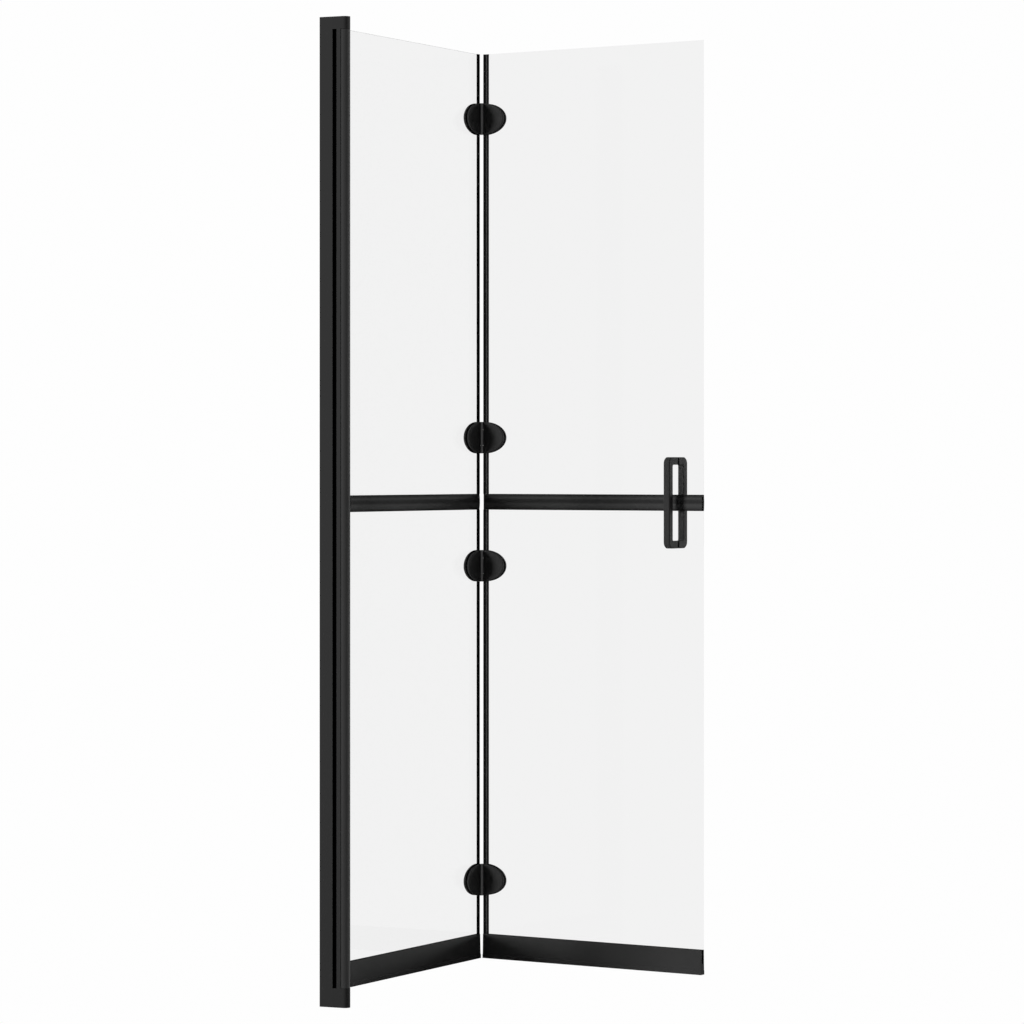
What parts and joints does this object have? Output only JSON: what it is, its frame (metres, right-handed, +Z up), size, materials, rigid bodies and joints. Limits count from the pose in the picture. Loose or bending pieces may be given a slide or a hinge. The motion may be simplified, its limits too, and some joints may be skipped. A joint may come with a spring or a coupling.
{
  "type": "folding shower screen",
  "caption": "Folding glass shower screen: wall profile with pivot, swinging panel, and an outer panel folding on clamp hinges, with rails, bars and back-to-back pulls.",
  "frame": {"origin": "on the wall plane at the foot of the wall profile, in the middle of its thickness", "axes": "+X away from the wall, +Y away from the viewer towards the side that the inner panel is swung to, +Z up"},
  "size_m": [0.6187, 0.5353, 1.9],
  "materials": {
    "coated_profile": "matt black powder coat on aluminium",
    "coated_fitting": "matt black coat on cast metal",
    "black_plastic": "matt black moulded plastic",
    "bush_plastic": "natural acetal",
    "clear_glass": "clear toughened glass",
    "black_rubber": "matt black seal rubber",
    "screw_steel": "stainless steel"
  },
  "bodies": {
    "wall_profile": {"wall_channel": "coated_profile", "pivot_channel": "coated_profile", "lock_screws": "screw_steel", "top_block": "black_plastic", "bottom_block": "black_plastic", "pivot_bushes": "bush_plastic"},
    "inner_panel": {"bottom_pivot_cap": "black_plastic", "hinge_pin_1": "screw_steel", "hinge_pin_2": "screw_steel", "hinge_pin_3": "screw_steel", "hinge_pin_4": "screw_steel", "inner_bar_pads": "black_rubber", "inner_bar_screws": "screw_steel", "inner_clamp_1": "coated_fitting", "inner_clamp_2": "coated_fitting", "inner_clamp_3": "coated_fitting", "inner_clamp_4": "coated_fitting", "inner_edge_seal": "black_rubber", "inner_front_bar": "coated_profile", "inner_glass": "clear_glass", "inner_hinge_gaskets": "black_rubber", "inner_hinge_screws": "screw_steel", "inner_leaf_1": "coated_fitting", "inner_leaf_2": "coated_fitting", "inner_leaf_3": "coated_fitting", "inner_leaf_4": "coated_fitting", "inner_rail": "coated_profile", "inner_rail_caps": "black_plastic", "inner_rail_gasket": "black_rubber", "inner_rear_bar": "coated_profile", "inner_sweep": "black_rubber", "pivot_cap_screws": "screw_steel", "pivot_post": "coated_profile", "post_gasket": "black_rubber", "top_pivot_cap": "black_plastic"},
    "outer_panel": {"front_pull": "coated_fitting", "outer_bar_pads": "black_rubber", "outer_bar_screws": "screw_steel", "outer_clamp_1": "coated_fitting", "outer_clamp_2": "coated_fitting", "outer_clamp_3": "coated_fitting", "outer_clamp_4": "coated_fitting", "outer_edge_seal": "black_rubber", "outer_front_bar": "coated_profile", "outer_glass": "clear_glass", "outer_hinge_gaskets": "black_rubber", "outer_hinge_screws": "screw_steel", "outer_leaf_1": "coated_fitting", "outer_leaf_2": "coated_fitting", "outer_leaf_3": "coated_fitting", "outer_leaf_4": "coated_fitting", "outer_rail": "coated_profile", "outer_rail_caps": "black_plastic", "outer_rail_gasket": "black_rubber", "outer_rear_bar": "coated_profile", "outer_sweep": "black_rubber", "pull_studs": "screw_steel", "pull_washers": "black_rubber", "rear_pull": "coated_fitting"}
  },
  "joints": [
    {"name": "wall_pivot", "type": "hinge", "parent": "wall_profile", "child": "inner_panel", "pos_m": [0.0493, 0, 0.95], "axis": [0, 0, 1], "range_deg": [-83.7, 6.3]},
    {"name": "fold_hinge", "type": "hinge", "parent": "inner_panel", "child": "outer_panel", "pos_m": [0.11349, 0.51034, 0.97], "axis": [0, 0, 1], "range_deg": [-83.6, 92.4]}
  ]
}
